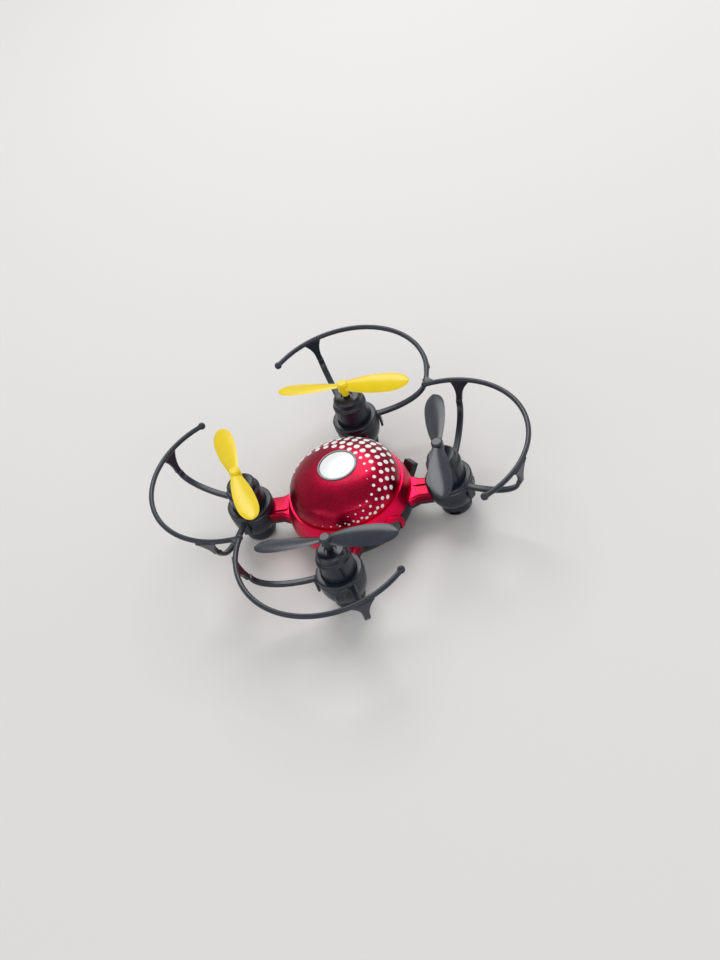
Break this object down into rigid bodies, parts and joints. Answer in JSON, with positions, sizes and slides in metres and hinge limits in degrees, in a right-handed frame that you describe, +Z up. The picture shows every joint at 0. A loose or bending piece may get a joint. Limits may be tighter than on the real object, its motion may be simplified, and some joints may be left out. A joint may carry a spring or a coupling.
{
  "type": "quadcopter drone",
  "caption": "Palm-sized quadcopter with a red domed body, white power button, black pods, yellow and black propellers and black wire guards.",
  "frame": {"origin": "on the floor, under the centre of the body", "axes": "+Z up, +Y towards the front window and the black propellers, +X to the craft's right"},
  "size_m": [0.128, 0.128, 0.0374],
  "materials": {
    "crimson_gloss": "gloss",
    "black_plastic": "satin",
    "guard_black": "satin",
    "black_gloss": "gloss",
    "white_plastic": "satin",
    "prop_black": "satin",
    "prop_yellow": "satin",
    "led_red": "gloss",
    "board_green": "satin",
    "chip_black": "matte",
    "battery_wrap": "satin",
    "wire_jacket": "matte",
    "brass": "polished",
    "steel": "satin",
    "motor_steel": "satin"
  },
  "bodies": {
    "airframe": {"top_cover": "crimson_gloss", "upper_shell": "crimson_gloss", "lower_shell": "black_plastic", "front_window": "black_gloss", "button_ring": "black_gloss", "tact_switch": "steel", "circuit_board": "board_green", "board_chips": "chip_black", "battery_contacts": "brass", "body_screws": "steel", "left_guard": "guard_black", "right_guard": "guard_black", "motor_pod_front_right": "guard_black", "pod_cap_front_right": "guard_black", "pod_led_front_right": "led_red", "motor_front_right": "motor_steel", "motor_end_front_right": "white_plastic", "motor_leads_front_right": "wire_jacket", "motor_pod_front_left": "guard_black", "pod_cap_front_left": "guard_black", "pod_led_front_left": "led_red", "motor_front_left": "motor_steel", "motor_end_front_left": "white_plastic", "motor_leads_front_left": "wire_jacket", "motor_pod_rear_left": "guard_black", "pod_cap_rear_left": "guard_black", "pod_led_rear_left": "led_red", "motor_rear_left": "motor_steel", "motor_end_rear_left": "white_plastic", "motor_leads_rear_left": "wire_jacket", "motor_pod_rear_right": "guard_black", "pod_cap_rear_right": "guard_black", "pod_led_rear_right": "led_red", "motor_rear_right": "motor_steel", "motor_end_rear_right": "white_plastic", "motor_leads_rear_right": "wire_jacket"},
    "prop_front_right": {"propeller_front_right": "prop_black", "motor_shaft_front_right": "motor_steel"},
    "prop_front_left": {"propeller_front_left": "prop_black", "motor_shaft_front_left": "motor_steel"},
    "prop_rear_left": {"propeller_rear_left": "prop_yellow", "motor_shaft_rear_left": "motor_steel"},
    "prop_rear_right": {"propeller_rear_right": "prop_yellow", "motor_shaft_rear_right": "motor_steel"},
    "button": {"power_button": "white_plastic", "switch_plunger": "black_plastic"},
    "battery": {"battery_pack": "battery_wrap", "battery_door": "black_plastic"}
  },
  "joints": [
    {"name": "prop_spin_front_right", "type": "hinge", "parent": "airframe", "child": "prop_front_right", "pos_m": [0.0285, 0.0285, 0.0355], "axis": [0, 0, 1], "continuous": true},
    {"name": "prop_spin_front_left", "type": "hinge", "parent": "airframe", "child": "prop_front_left", "pos_m": [-0.0285, 0.0285, 0.0355], "axis": [0, 0, 1], "continuous": true},
    {"name": "prop_spin_rear_left", "type": "hinge", "parent": "airframe", "child": "prop_rear_left", "pos_m": [-0.0285, -0.0285, 0.0355], "axis": [0, 0, 1], "continuous": true},
    {"name": "prop_spin_rear_right", "type": "hinge", "parent": "airframe", "child": "prop_rear_right", "pos_m": [0.0285, -0.0285, 0.0355], "axis": [0, 0, 1], "continuous": true},
    {"name": "button_press", "type": "slide", "parent": "airframe", "child": "button", "axis": [0, 0, -1], "range_m": [0, 0.0006], "stiffness_N_per_m": 400, "springref_m": -0.0004},
    {"name": "battery_slide", "type": "slide", "parent": "airframe", "child": "battery", "axis": [-1, 0, 0], "range_m": [0, 0.03]}
  ]
}
